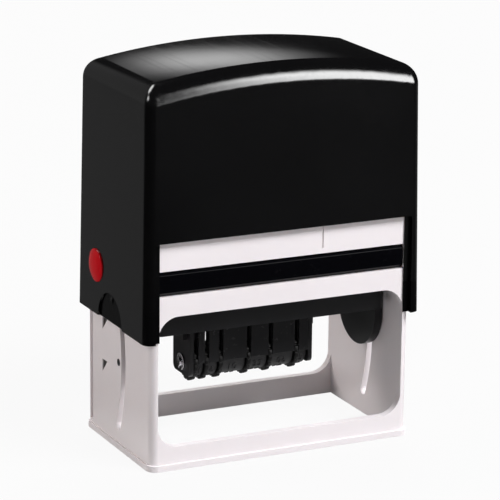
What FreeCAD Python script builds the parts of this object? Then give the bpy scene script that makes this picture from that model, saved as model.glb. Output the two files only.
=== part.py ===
import FreeCAD, Part
import math
import os

from FreeCAD import Vector as V

# Self-inking date stamp with a half-turn printing rotor, in millimetres.
# Origin at the centre of the base, X along the stamp, front at -Y, +Z up, as it rests.

# Driving sizes: stroke and turning centre
stroke = 34.0
pin_offset = 4.0
print_height = 12.0

# Driving sizes: frame
frame_length = 91.3
frame_depth = 51.6
frame_rim_height = 8.4
frame_wall = 2.5
frame_corner = 2.6
flange_height = 2.0
flange_step = 0.62
window_sill = 7.55
window_lintel = 6.8
window_corner = 7.0
deck_thickness = 2.2
slot_half_width = 1.7
guide_groove_inset = 3.0
guide_groove_width = 3.0
guide_groove_depth = 1.2
guide_groove_foot = 3.0
ledge_width = 2.1
ledge_thickness = 1.4
slit_x = 13.8
slit_width = 0.5
slit_depth = 0.6
slit_foot_drop = 9.1
slit_top_drop = 0.8

# Driving sizes: cap
cap_wall_x = 2.4
cap_wall_y = 1.9
cap_foot_drop = 3.6
cap_height = 85.4
cap_arch_radius = 245.0
cap_draft = 0.85
cap_end_round = 6.5
cap_front_round = 6.5
cap_upright_round = 3.0
cap_roof = 2.2
cavity_corner = 3.2
cavity_shoulder_drop = 17.3
# How far the cavity's walls lean in, and how high above its shoulder
cavity_lean = ((0.5, 4.0), (3.6, 9.0), (7.0, 16.0))
cap_frame_gap_x = 0.45
cap_frame_gap_y = 0.4
cap_opening_side = 3.5
cap_opening_drop = 1.35
cap_opening_corner = 1.0
scoop_radius = 9.6
scoop_y = 0.5
scoop_depth = 0.75
pin_track_web = 0.55
pip_radius = 1.3
pip_height = 0.45
roof_rib_thickness = 1.2
roof_rib_drop = 11.8
roof_rib_count = 2
roof_rib_pitch = 15.0
rail_side_gap = 0.2
rail_face_gap = 0.3

# Driving sizes: return spring and its seats
spring_wire = 1.4
spring_mean_radius = 6.3
spring_turns = 11
spring_end_gap = 0.1
spigot_radius = 5.0
spigot_height = 5.4
spring_seat_radius = 9.0
spring_seat_drop = 1.6

# Driving sizes: lock buttons
button_y = 11.9
button_rise = 12.6
button_radius = 5.4
button_clearance = 0.1
button_travel = 1.1
button_rim = 0.8
button_crown = 1.3
button_web = 0.6
nose_width = 3.2
nose_height = 3.4
nose_y = 11.4
nose_clearance = 0.2
recess_depth = 1.0
recess_middle_drop = 19.8

# Driving sizes: ink-pad cassette
cassette_height = 8.0
cassette_end_gap = 0.3
cassette_face_gap = 0.1
cassette_slide_gap = 0.1
cassette_wall_x = 2.4
cassette_wall_y = 3.5
cassette_roof = 1.5
cassette_bevel = 1.2
pad_gap = 0.4
ink_gap = 2.2
pad_lift = 3.1

# Driving sizes: rotor
rotor_end_gap = 0.3
cheek_thickness = 2.85
cheek_half_width = 13.0
cheek_bottom = 21.0
cheek_top = 7.0
cheek_top_round = 4.0
guide_pin_radius = 1.5
guide_pin_end_gap = 0.15
guide_pin_dome = 0.35
stud_radius = 1.2
stud_reach = 1.4
cam_half_width = 1.45
cam_depth = 1.7
carriage_depth = 38.0
carriage_foot_drop = 4.0
carriage_wall = 1.6
carriage_corner = 1.5
plate_end_margin = 2.5
plate_thickness = 2.0
plate_corner = 1.5
rubber_margin = 1.5
rubber_base = 1.2
rubber_relief = 1.1
relief_line = 1.0
relief_inset = 1.2
relief_pitch = 3.6
relief_first_row = 2
relief_rows = 2
relief_length_share = 0.62
window_clear = 0.6

# Driving sizes: dater
wheel_centre_drop = 19.4
drum_radius = 4.05
rim_radius = 6.5
rim_lobes = 16
lobe_depth = 0.35
lobe_start_share = 0.2
rim_thickness = 1.3
wheel_side_gap = 0.1
shaft_radius = 1.5
shaft_fit = 0.05
shaft_overhang = 1.1
clip_thickness = 0.5
clip_radius = 2.8
clip_seat_radius = 1.2
clip_inset = 0.3
clip_mouth_share = 0.8
band_gap = 0.15
band_thickness = 1.2
bridge_half_width = 2.6
bridge_corner = 1.0
bridge_depth = 3.4
bridge_gap = 0.05
cover_gap = 0.3
cover_thickness = 0.8
cover_foot_rise = 0.5
cover_slot_rise = 15.0
cover_rise = 18.4
dater_cheek = 1.4
dater_cheek_drop = 4.0
dater_cheek_corner = 2.0
dater_cheek_side_gap = 0.2
dater_neck_half = 4.2
dater_foot_reach = 2.4
dater_foot_thickness = 1.5
dater_step_reach = 1.4
dater_step_rise = 8.4
# Each wheel from left to right: name, left side of its rim, width of its band
date_wheels = (
    ("day_tens", -21.9, 2.2),
    ("day_units", -18.1, 3.4),
    ("month", -13.1, 8.4),
    ("year", -3.1, 6.2),
    ("hour", 4.7, 7.9),
    ("minute", 14.2, 3.2),
)

# One overrun serves all cuts, and one count all fits by rounds
over = 1.0
fit_rounds = 8
track_steps = 12
# Unit directions
X = V(1, 0, 0)
Y = V(0, 1, 0)
Z = V(0, 0, 1)

# Heights worked out from the driving sizes
turn_centre_z = stroke + print_height
stud_z = turn_centre_z - stroke / 2
print_face_z = turn_centre_z + print_height
pad_underside = print_face_z + ink_gap
cassette_foot = pad_underside - pad_lift
cassette_top = cassette_foot + cassette_height
deck_foot = cassette_top + cassette_end_gap
deck_top = deck_foot + deck_thickness
frame_height = deck_top + frame_rim_height
window_head = cassette_foot - window_lintel
slit_foot = frame_height - slit_foot_drop
slit_top = frame_height - slit_top_drop
cap_foot = turn_centre_z - cap_foot_drop
cap_crown = cap_foot + cap_height
cavity_shoulder = cap_crown - cavity_shoulder_drop
roof_rib_foot = cap_crown - roof_rib_drop
roof_seat_z = cap_crown - cap_roof - spring_seat_drop
cap_opening_head = frame_height - cap_opening_drop
button_z = turn_centre_z + button_rise
recess_middle_z = button_z - recess_middle_drop
carriage_foot = turn_centre_z - carriage_foot_drop
plate_foot = print_face_z - rubber_base - rubber_relief - plate_thickness
wheel_centre_z = turn_centre_z - wheel_centre_drop
cover_foot = wheel_centre_z + cover_foot_rise
cover_slot_top = wheel_centre_z + cover_slot_rise
cover_top = wheel_centre_z + cover_rise
dater_step_foot = wheel_centre_z + dater_step_rise

# Lengths and depths worked out from the driving sizes
frame_half_x = frame_length / 2
frame_half_y = frame_depth / 2
inner_half_x = frame_half_x - frame_wall
inner_half_y = frame_half_y - frame_wall
guide_groove_y = frame_half_y - guide_groove_inset
cavity_half_x = frame_half_x + cap_frame_gap_x
cavity_half_y = frame_half_y + cap_frame_gap_y
cap_half_x = cavity_half_x + cap_wall_x
cap_half_y = cavity_half_y + cap_wall_y
cap_opening_half = cap_half_x - cap_opening_side
scoop_floor_x = cap_half_x - scoop_depth
pin_track_floor_x = scoop_floor_x - pin_track_web
guide_pin_tip_x = pin_track_floor_x - guide_pin_end_gap
cheek_outer_x = inner_half_x - rotor_end_gap
carriage_half_x = cheek_outer_x - cheek_thickness
plate_length = (carriage_half_x - plate_end_margin) * 2
plate_depth = carriage_depth
rubber_length = plate_length - rubber_margin * 2
rubber_depth = plate_depth - rubber_margin * 2
descent_per_radian = stroke / math.pi


# Plain solids and cutters
def box(x0, x1, y0, y1, z0, z1):
    return Part.makeBox(x1 - x0, y1 - y0, z1 - z0, V(x0, y0, z0))


def rod_x(radius, x0, x1, y, z):
    return Part.makeCylinder(radius, x1 - x0, V(x0, y, z), X)


def rod_z(radius, x, y, z0, z1):
    return Part.makeCylinder(radius, z1 - z0, V(x, y, z0), Z)


def prism_x(outline, x0, x1):
    """Extrudes a closed wire drawn in the YZ plane at x = 0."""
    solid = Part.Face(outline).extrude(X * (x1 - x0))
    if solid.Volume < 0:
        solid.reverse()
    solid.translate(X * x0)
    return solid


def prism_y(outline, y0, y1):
    """Extrudes a closed wire drawn in the XZ plane at y = 0."""
    solid = Part.Face(outline).extrude(Y * (y1 - y0))
    solid.translate(Y * y0)
    return solid


def joined(solids):
    whole = solids[0].multiFuse(solids[1:])
    return whole.removeSplitter()


def mirrored(solid):
    return solid.mirror(V(0, 0, 0), X)


def both_ends(solid):
    return [solid, mirrored(solid)]


def upright_round(solid, radius):
    """Rounds the edges of a block that stand along Z."""
    edges = [e for e in solid.Edges if is_along(e, Z)]
    return solid.makeFillet(radius, edges)


def is_along(edge, direction):
    a = edge.Vertexes[0].Point
    b = edge.Vertexes[-1].Point
    run = b - a
    if run.Length == 0:
        return False
    return abs(abs(run.normalize().dot(direction)) - 1) < 1e-4


def rounded_rectangle_xz(x0, x1, z0, z1, radius):
    corners = [(x1 - radius, z1 - radius, 0), (x0 + radius, z1 - radius, 1),
               (x0 + radius, z0 + radius, 2), (x1 - radius, z0 + radius, 3)]
    return rounded_loop([(V(x, 0, z), radius, turn) for x, z, turn in corners], X, Z)


def rounded_loop(corners, across, up):
    """Joins quarter arcs, given as centre, radius and quarter number, with straight lines."""
    arcs = []
    for centre, radius, quarter in corners:
        places = []
        for share in (0, 0.5, 1):
            angle = (quarter + share) * math.pi / 2
            places.append(centre + across * (radius * math.cos(angle)) + up * (radius * math.sin(angle)))
        arcs.append(places)
    edges = []
    for index, places in enumerate(arcs):
        edges.append(Part.Arc(*places).toShape())
        following = arcs[(index + 1) % len(arcs)][0]
        if (following - places[2]).Length > 1e-6:
            edges.append(Part.makeLine(places[2], following))
    return Part.Wire(edges)


def polygon_yz(points):
    places = [V(0, y, z) for y, z in points]
    return Part.makePolygon(places + places[:1])


def belt_wire(rollers):
    """Outline of a belt in the YZ plane round rollers (y, z, radius) listed anticlockwise."""
    tangents = []
    count = len(rollers)
    for index in range(count):
        y0, z0, r0 = rollers[index]
        y1, z1, r1 = rollers[(index + 1) % count]
        run = math.hypot(y1 - y0, z1 - z0)
        heading = math.atan2(z1 - z0, y1 - y0)
        normal = heading - math.acos((r0 - r1) / run)
        tangents.append((normal, V(0, y0 + r0 * math.cos(normal), z0 + r0 * math.sin(normal)),
                         V(0, y1 + r1 * math.cos(normal), z1 + r1 * math.sin(normal))))
    edges = []
    for index in range(count):
        y0, z0, r0 = rollers[index]
        entering = tangents[index - 1]
        leaving = tangents[index]
        sweep = (leaving[0] - entering[0]) % (2 * math.pi)
        middle = entering[0] + sweep / 2
        crest = V(0, y0 + r0 * math.cos(middle), z0 + r0 * math.sin(middle))
        edges.append(Part.Arc(entering[2], crest, leaving[1]).toShape())
        edges.append(Part.makeLine(leaving[1], leaving[2]))
    return Part.Wire(edges)


# Paths of the half turn
def pin_place(turn):
    """Guide pin's centre (y, z) in the frame when the rotor has turned by this angle."""
    centre_z = turn_centre_z - descent_per_radian * turn
    return -pin_offset * math.sin(turn), centre_z + pin_offset * math.cos(turn)


def stud_place(turn):
    """Frame stud's place (y, z) on the rotor cheek, measured with the rotor at rest."""
    drop = turn_centre_z - stud_z - descent_per_radian * turn
    return -drop * math.sin(turn), turn_centre_z - drop * math.cos(turn)


def track(place, half_width, x0, x1, joints, steps):
    """Cutters along X for a channel of even width, in one run between each two joints of its path."""
    cutters = []
    ends = []
    nudge = 1e-4
    for start, end in zip(joints, joints[1:]):
        left = []
        right = []
        for step in range(steps + 1):
            turn = start + (end - start) * step / steps
            y, z = place(turn)
            ya, za = place(turn - nudge)
            yb, zb = place(turn + nudge)
            run = math.hypot(yb - ya, zb - za)
            across = V(0, za - zb, yb - ya) * (half_width / run)
            left.append(V(0, y, z) + across)
            right.append(V(0, y, z) - across)
        sides = []
        for points in (left, right[::-1]):
            curve = Part.BSplineCurve()
            curve.interpolate(points)
            sides.append(curve.toShape())
        outline = Part.Wire([sides[0], Part.makeLine(left[-1], right[-1]),
                             sides[1], Part.makeLine(right[0], left[0])])
        cutters.append(prism_x(outline, x0, x1))
    for joint in joints:
        y, z = place(joint)
        if all(math.hypot(y - ye, z - ze) > half_width for ye, ze in ends):
            ends.append((y, z))
            cutters.append(rod_x(half_width, x0, x1, y, z))
    return cutters


# Frame: walls, base flange, windows, cassette bay, deck and cam slots
def frame_housing():
    shell = box(-frame_half_x, frame_half_x, -frame_half_y, frame_half_y, 0, frame_height)
    shell = upright_round(shell, frame_corner)
    flange_x = frame_half_x + flange_step
    flange_y = frame_half_y + flange_step
    flange = box(-flange_x, flange_x, -flange_y, flange_y, 0, flange_height)
    flange = upright_round(flange, frame_corner + flange_step)
    body = shell.fuse(flange)
    hollow = box(-inner_half_x, inner_half_x, -inner_half_y, inner_half_y, -over, frame_height + over)
    body = body.cut(hollow)
    deck = box(-inner_half_x, inner_half_x, -inner_half_y, inner_half_y, deck_foot, deck_top)
    deck = deck.fuse(rod_z(spigot_radius, 0, 0, deck_top, deck_top + spigot_height))
    body = body.fuse(deck)
    ledge = box(inner_half_x - ledge_width, inner_half_x, -inner_half_y, inner_half_y,
                cassette_foot - cassette_face_gap - ledge_thickness, cassette_foot - cassette_face_gap)
    body = body.fuse(both_ends(ledge))
    outline = rounded_rectangle_xz(-inner_half_x, inner_half_x, window_sill, window_head, window_corner)
    window = prism_y(outline, -frame_half_y - flange_step, frame_half_y + flange_step)
    walls = [box(-frame_half_x, frame_half_x, -frame_half_y - over, -inner_half_y, 0, frame_height),
             box(-frame_half_x, frame_half_x, inner_half_y, frame_half_y + over, 0, frame_height)]
    body = body.cut([window.common(wall) for wall in walls])
    bay_foot = cassette_foot - cassette_face_gap
    bay_top = cassette_top + cassette_face_gap
    bay = box(-inner_half_x, inner_half_x, -frame_half_y - over, frame_half_y + over, bay_foot, bay_top)
    body = body.cut([bay.common(wall) for wall in walls])
    for piece in track(pin_place, slot_half_width, inner_half_x - over, frame_half_x + over,
                       (0, math.pi), track_steps * 2):
        body = body.cut(both_ends(piece))
    stud_hole = rod_x(stud_radius, inner_half_x - over, frame_half_x + over, 0, stud_z)
    body = body.cut(both_ends(stud_hole))
    groove = box(frame_half_x - guide_groove_depth, frame_half_x + over,
                 guide_groove_y - guide_groove_width / 2, guide_groove_y + guide_groove_width / 2,
                 guide_groove_foot, frame_height + over)
    body = body.cut(both_ends(groove))
    for height in lock_heights():
        recess = lock_wedge(height, frame_half_x - recess_depth, frame_half_x + over, nose_clearance)
        body = body.cut(both_ends(recess))
    slit = box(slit_x - slit_width / 2, slit_x + slit_width / 2, -frame_half_y - over,
               -frame_half_y + slit_depth, slit_foot, slit_top)
    return body.cut(slit).removeSplitter()


def lock_heights():
    """Heights of the frame's lock recesses: cap up, cap part way, cap down."""
    return button_z, recess_middle_z, button_z - stroke


def lock_wedge(height, x0, x1, clearance):
    """Three-sided nose, or its recess, upright at the back and coming to a point below."""
    half_y = nose_width / 2 + clearance
    half_z = nose_height / 2 + clearance
    slant = clearance * 2
    outline = polygon_yz([(nose_y - half_y - slant, height + half_z), (nose_y + half_y, height + half_z),
                          (nose_y + half_y, height - half_z - slant)])
    return prism_x(outline, x0, x1)


def turning_studs():
    stud = rod_x(stud_radius, cheek_outer_x - stud_reach, frame_half_x, 0, stud_z)
    stud = stud.makeChamfer(slit_width / 2, [e for e in stud.Edges if e.BoundBox.XMax < cheek_outer_x])
    return Part.makeCompound(both_ends(stud))


# Ink-pad cassette and its pad
def pad_cassette():
    half_x = inner_half_x - cassette_end_gap
    half_y = frame_half_y - cassette_slide_gap
    tray = box(-half_x, half_x, -half_y, half_y, cassette_foot, cassette_top)
    long_edges = [e for e in tray.Edges if is_along(e, X)]
    tray = tray.makeChamfer(cassette_bevel, long_edges)
    hollow_x = half_x - cassette_wall_x
    hollow_y = half_y - cassette_wall_y
    hollow = box(-hollow_x, hollow_x, -hollow_y, hollow_y,
                 cassette_foot - over, cassette_top - cassette_roof)
    return tray.cut(hollow)


def ink_pad():
    half_x = inner_half_x - cassette_end_gap - cassette_wall_x - pad_gap
    half_y = frame_half_y - cassette_slide_gap - cassette_wall_y - pad_gap
    return box(-half_x, half_x, -half_y, half_y, pad_underside, cassette_top - cassette_roof)


# Return spring: one wire wound as quarter-turn pairs of arcs
def return_spring():
    foot = deck_top + spring_wire / 2
    top = roof_seat_z - spring_end_gap - spring_wire / 2
    pitch = (top - foot) / spring_turns
    quarters = spring_turns * 4
    edges = []
    for quarter in range(quarters):
        ends = []
        for step in (quarter, quarter + 1):
            angle = step * math.pi / 2
            place = V(spring_mean_radius * math.cos(angle), spring_mean_radius * math.sin(angle),
                      foot + pitch * step / 4)
            heading = V(-spring_mean_radius * math.sin(angle), spring_mean_radius * math.cos(angle),
                        pitch / (2 * math.pi)).normalize()
            ends.append((place, heading))
        edges.extend(arc_pair(ends[0], ends[1]))
    path = Part.Wire(edges)
    start = edges[0].valueAt(edges[0].FirstParameter)
    ring = Part.Circle(start, edges[0].tangentAt(edges[0].FirstParameter), spring_wire / 2).toShape()
    print("return spring: gap between turns", round(pitch - spring_wire, 2), "mm")
    return path.makePipeShell([Part.Wire([ring])], True, False)


def arc_pair(begin, finish):
    """Two arcs that meet smoothly between two places with given headings."""
    p0, t0 = begin
    p1, t1 = finish
    span = p1 - p0
    both = t0 + t1
    a = 2 * (1 - t0.dot(t1))
    b = 2 * span.dot(both)
    c = -span.dot(span)
    reach = (-b + math.sqrt(b * b - 4 * a * c)) / (2 * a)
    meet = (p0 + p1 + (t0 - t1) * reach) * 0.5
    return [arc_from(p0, t0, meet), arc_from(p1, t1 * -1, meet, True)]


def arc_from(start, heading, end, backwards=False):
    """Arc that leaves start along heading and reaches end."""
    chord = end - start
    side = chord - heading * chord.dot(heading)
    radius = chord.dot(chord) / (2 * side.Length)
    centre = start + side.normalize() * radius
    middle_way = (start + end) * 0.5 - centre
    middle = centre + middle_way.normalize() * radius
    if backwards:
        return Part.Arc(end, middle, start).toShape()
    return Part.Arc(start, middle, end).toShape()


# Cap: drafted and arched shell, open below and at front and back
def rounded_rectangle_xy(half_x, half_y, radius, z):
    corners = [(half_x - radius, half_y - radius, 0), (radius - half_x, half_y - radius, 1),
               (radius - half_x, radius - half_y, 2), (half_x - radius, radius - half_y, 3)]
    return rounded_loop([(V(x, y, z), radius, turn) for x, y, turn in corners], X, Y)


def arched_block(sections, crown, arch_radius):
    """Ruled loft through level sections (half x, half y, corner, z) under an arched top."""
    stages = [rounded_rectangle_xy(*section) for section in sections]
    block = Part.makeLoft(stages, True, True)
    span = cap_half_x + over
    arch_foot = crown - arch_radius + math.sqrt(arch_radius ** 2 - span ** 2)
    arch = Part.Arc(V(-span, 0, arch_foot), V(0, 0, crown), V(span, 0, arch_foot)).toShape()
    outline = Part.Wire([arch, Part.makeLine(V(span, 0, arch_foot), V(span, 0, 0)),
                         Part.makeLine(V(span, 0, 0), V(-span, 0, 0)),
                         Part.makeLine(V(-span, 0, 0), V(-span, 0, arch_foot))])
    return block.common(prism_y(outline, -cap_half_y - over, cap_half_y + over))


def drafted(half, z):
    """Half-size of the cap at a height, drawn in by its draft."""
    return half - (z - cap_foot) * math.tan(math.radians(cap_draft))


def shoulder_arc(centre, radius, side_normal, top_normal):
    """Three places of the round that touches a side and the top of the cap."""
    middle = (side_normal + top_normal).normalize()
    return [centre + normal * radius for normal in (side_normal, middle, top_normal)]


def capped_outline(foot, shoulder, crown, flip):
    """Symmetric outline: foot, side, shoulder round and top, each with its mirror image."""
    def twin(place):
        return V(-place.x, place.y, place.z) if flip is X else V(place.x, -place.y, place.z)
    side_touch, middle, top_touch = shoulder
    top = Part.makeLine(top_touch, twin(top_touch))
    if crown:
        top = Part.Arc(top_touch, crown, twin(top_touch)).toShape()
    return Part.Wire([Part.makeLine(foot, side_touch),
                      Part.Arc(side_touch, middle, top_touch).toShape(), top,
                      Part.Arc(twin(top_touch), twin(middle), twin(side_touch)).toShape(),
                      Part.makeLine(twin(side_touch), twin(foot)), Part.makeLine(twin(foot), foot)])


def cap_outer():
    """Front outline of the cap crossed with its end outline swept round the arch, uprights rounded."""
    lean = math.radians(cap_draft)
    arch_centre = V(0, 0, cap_crown - cap_arch_radius)
    end_z = cap_crown - cap_end_round
    for _ in range(fit_rounds):
        end_x = drafted(cap_half_x, end_z) - cap_end_round / math.cos(lean)
        end_z = arch_centre.z + math.sqrt((cap_arch_radius - cap_end_round) ** 2 - end_x ** 2)
    end_centre = V(end_x, 0, end_z)
    shoulder = shoulder_arc(end_centre, cap_end_round, V(math.cos(lean), 0, math.sin(lean)),
                            (end_centre - arch_centre).normalize())
    front = capped_outline(V(cap_half_x, 0, cap_foot), shoulder, V(0, 0, cap_crown), X)
    along = prism_y(front, -cap_half_y - over, cap_half_y + over)
    front_z = cap_crown - cap_front_round
    front_y = drafted(cap_half_y, front_z) - cap_front_round / math.cos(lean)
    front_centre = V(0, front_y, front_z)
    shoulder = shoulder_arc(front_centre, cap_front_round, V(0, math.cos(lean), math.sin(lean)), Z)
    across = Part.Face(capped_outline(V(0, drafted(cap_half_y, 0), 0), shoulder, None, Y))
    half_sweep = math.degrees(math.atan2(cap_half_x + over, cap_foot - arch_centre.z))
    across.rotate(arch_centre, Y, -half_sweep)
    block = along.common(across.revolve(arch_centre, Y, half_sweep * 2))
    block = block.common(box(-cap_half_x - over, cap_half_x + over, -cap_half_y - over, cap_half_y + over,
                             cap_foot, cap_crown + over)).removeSplitter()
    middle = (cap_foot + cap_crown) / 2
    uprights = [e for e in block.Edges if e.BoundBox.ZMin < middle < e.BoundBox.ZMax]
    return block.makeFillet(cap_upright_round, uprights)


def cap_cavity():
    sections = [(cavity_half_x, cavity_half_y, cavity_corner, cap_foot - over),
                (cavity_half_x, cavity_half_y, cavity_corner, cavity_shoulder)]
    for lean, rise in cavity_lean:
        sections.append((cavity_half_x - lean, cavity_half_y - lean, cavity_corner + lean / 2,
                         cavity_shoulder + rise))
    return arched_block(sections, cap_crown - cap_roof, cap_arch_radius - cap_roof)


def cap_shell():
    cavity = cap_cavity()
    shell = cap_outer().cut(cavity)
    fittings = []
    seat = rod_z(spring_seat_radius, 0, 0, roof_seat_z, cap_crown - cap_roof / 2)
    spigot = rod_z(spigot_radius, 0, 0, roof_seat_z - spigot_height, roof_seat_z + spring_seat_drop / 2)
    fittings.append(seat.fuse(spigot))
    for step in range(-roof_rib_count, roof_rib_count + 1):
        rib_x = step * roof_rib_pitch
        rib = box(rib_x - roof_rib_thickness / 2, rib_x + roof_rib_thickness / 2,
                  -cap_half_y, cap_half_y, roof_rib_foot, cap_crown)
        if step:
            fittings.append(rib.common(cavity))
    rail_half = guide_groove_width / 2 - rail_side_gap
    rail_inner_x = frame_half_x - guide_groove_depth + rail_face_gap
    rail = box(rail_inner_x, cavity_half_x + cap_frame_gap_x, guide_groove_y - rail_half,
               guide_groove_y + rail_half, cap_foot, roof_rib_foot)
    fittings.extend(both_ends(rail))
    shell = shell.fuse(fittings)
    opening_foot = cap_foot - over - cap_opening_corner
    outline = rounded_rectangle_xz(-cap_opening_half, cap_opening_half, opening_foot,
                                   cap_opening_head, cap_opening_corner)
    opening = prism_y(outline, -cap_half_y - over, cap_half_y + over)
    ends_kept = box(-cap_half_x, cap_half_x, -cavity_half_y, cavity_half_y, 0, cap_crown)
    shell = shell.cut(opening.cut(ends_kept))
    scoop = rod_x(scoop_radius, scoop_floor_x, cap_half_x + over, scoop_y, cap_foot)
    shell = shell.cut(both_ends(scoop))
    shell = shell.fuse(both_ends(scoop_pip()))
    shell = shell.cut(both_ends(cap_pin_track()))
    shell = shell.cut(both_ends(button_hole()))
    return shell.removeSplitter()


def scoop_pip():
    """Domed pip on the floor of the scoop, level with the guide pin at rest."""
    pip_z = turn_centre_z + pin_offset
    dome_radius = (pip_radius ** 2 + pip_height ** 2) / (2 * pip_height)
    dome = Part.makeSphere(dome_radius, V(scoop_floor_x + pip_height - dome_radius, 0, pip_z))
    return dome.common(rod_x(pip_radius, scoop_floor_x - pip_height, cap_half_x, 0, pip_z))


def cap_pin_track():
    """Blind half-ring track that the guide pin follows inside the cap's end wall as the rotor turns."""
    x0 = cavity_half_x - over
    x1 = pin_track_floor_x
    reach = pin_offset + slot_half_width
    ring = rod_x(reach, x0, x1, 0, turn_centre_z)
    ring = ring.cut(rod_x(pin_offset - slot_half_width, x0 - over, x1 + over, 0, turn_centre_z))
    ring = ring.common(box(x0 - over, x1 + over, -reach - over, 0, turn_centre_z - reach - over,
                           turn_centre_z + reach + over))
    way_in = box(x0, x1, -slot_half_width, slot_half_width, cap_foot - over, turn_centre_z - pin_offset)
    pieces = [ring, way_in]
    for pin_z in (turn_centre_z - pin_offset, turn_centre_z + pin_offset):
        pieces.append(rod_x(slot_half_width, x0, x1, 0, pin_z))
    return joined(pieces)


def button_face_x():
    """Outer face of the cap's end wall at the height of the button."""
    return drafted(cap_half_x, button_z)


def button_hole():
    web_x = cavity_half_x + button_web
    well = rod_x(button_radius + button_clearance, web_x, cap_half_x + over, button_y, button_z)
    keyway = lock_wedge(button_z, cavity_half_x - over, web_x + over, nose_clearance)
    return well.fuse(keyway)


def lock_button():
    """Domed red button with a wedge nose on its back, at the right-hand end."""
    web_x = cavity_half_x + button_web
    back_x = web_x + button_travel
    rim_x = back_x + button_rim
    crown_x = rim_x + button_crown
    disc = rod_x(button_radius, back_x, rim_x, button_y, button_z)
    dome_radius = (button_radius ** 2 + button_crown ** 2) / (2 * button_crown)
    dome = Part.makeSphere(dome_radius, V(crown_x - dome_radius, button_y, button_z))
    dome = dome.common(rod_x(button_radius, rim_x, crown_x + over, button_y, button_z))
    nose = lock_wedge(button_z, cavity_half_x - button_clearance / 2, back_x, 0)
    return joined([disc, dome, nose])


# Rotor: carriage, cheeks with guide pins, plate and printing rubber
def carriage():
    half_y = carriage_depth / 2
    tray = upright_round(box(-carriage_half_x, carriage_half_x, -half_y, half_y, carriage_foot, plate_foot),
                         carriage_corner)
    wall = carriage_wall
    tray = tray.cut(box(-carriage_half_x + wall, carriage_half_x - wall, -half_y + wall, half_y - wall,
                        carriage_foot - over, plate_foot - wall))
    window = dater_window(plate_foot - wall - over, plate_foot + over)
    return tray.cut(window).removeSplitter()


def dater_left():
    return date_wheels[0][1] - wheel_side_gap - dater_cheek_side_gap - dater_cheek


def dater_right():
    name, rim_left, band_width = date_wheels[-1]
    return rim_left + rim_thickness + wheel_side_gap + band_width + dater_cheek_side_gap + dater_cheek


def band_half_depth(z):
    """Half the depth of the bands' loop, outside, at a height between wheel and bridge."""
    wheel = drum_radius + band_gap + band_thickness
    share = (z - wheel_centre_z) / (print_face_z - wheel_centre_z)
    return wheel + (bridge_half_width + band_thickness - wheel) * share


def dater_window(z0, z1):
    half_y = band_half_depth(z0) + window_clear
    return box(dater_left() - window_clear, dater_right() + window_clear, -half_y, half_y, z0, z1)


def turning_cheek():
    """End plate of the rotor with its cam groove and guide pin, at the right-hand end."""
    bottom_z = turn_centre_z - cheek_bottom
    top_z = turn_centre_z + cheek_top
    half = cheek_half_width
    inner = half - cheek_top_round
    quarter = cheek_top_round * math.sin(math.pi / 4)
    crown_z = top_z - cheek_top_round
    foot_z = bottom_z + half
    middle_z = crown_z + quarter
    rear_round = Part.Arc(V(0, half, crown_z), V(0, inner + quarter, middle_z), V(0, inner, top_z))
    front_round = Part.Arc(V(0, -inner, top_z), V(0, -inner - quarter, middle_z), V(0, -half, crown_z))
    edges = [Part.Arc(V(0, -half, foot_z), V(0, 0, bottom_z), V(0, half, foot_z)).toShape(),
             Part.makeLine(V(0, half, foot_z), V(0, half, crown_z)), rear_round.toShape(),
             Part.makeLine(V(0, inner, top_z), V(0, -inner, top_z)), front_round.toShape(),
             Part.makeLine(V(0, -half, crown_z), V(0, -half, foot_z))]
    plate = prism_x(Part.Wire(edges), carriage_half_x, cheek_outer_x)
    groove_x = cheek_outer_x - cam_depth
    joints = (0, math.pi / 2, math.pi)
    groove = track(stud_place, cam_half_width, groove_x, cheek_outer_x + over, joints, track_steps)
    plate = plate.cut(groove)
    pin_z = turn_centre_z + pin_offset
    pin = rod_x(guide_pin_radius, carriage_half_x, guide_pin_tip_x - guide_pin_dome, 0, pin_z)
    dome_radius = (guide_pin_radius ** 2 + guide_pin_dome ** 2) / (2 * guide_pin_dome)
    dome = Part.makeSphere(dome_radius, V(guide_pin_tip_x - dome_radius, 0, pin_z))
    tip = rod_x(guide_pin_radius, guide_pin_tip_x - guide_pin_dome, guide_pin_tip_x + over, 0, pin_z)
    return joined([plate, pin, dome.common(tip)])


def text_plate():
    half_x = plate_length / 2
    half_y = plate_depth / 2
    face = plate_foot + plate_thickness
    plate = upright_round(box(-half_x, half_x, -half_y, half_y, plate_foot, face), plate_corner)
    return plate.cut(dater_window(plate_foot - over, face + over))


def text_rubber():
    """Rubber sheet with a raised border and raised plain rules, one row per line of print."""
    half_x = rubber_length / 2
    half_y = rubber_depth / 2
    foot = plate_foot + plate_thickness
    face = foot + rubber_base
    sheet = box(-half_x, half_x, -half_y, half_y, foot, face)
    edge_x = half_x - relief_inset
    edge_y = half_y - relief_inset
    border = box(-edge_x, edge_x, -edge_y, edge_y, face, print_face_z)
    border = border.cut(box(-edge_x + relief_line, edge_x - relief_line, -edge_y + relief_line,
                            edge_y - relief_line, face - over, print_face_z + over))
    pieces = [sheet, border]
    rule_half = half_x * relief_length_share
    for row in range(relief_first_row, relief_first_row + relief_rows):
        for side in (-1, 1):
            middle = side * row * relief_pitch + side * relief_line
            pieces.append(box(-rule_half, rule_half, middle - relief_line / 2, middle + relief_line / 2,
                              face, print_face_z))
    rubber = joined(pieces)
    return rubber.cut(dater_window(foot - over, print_face_z + over))


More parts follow.
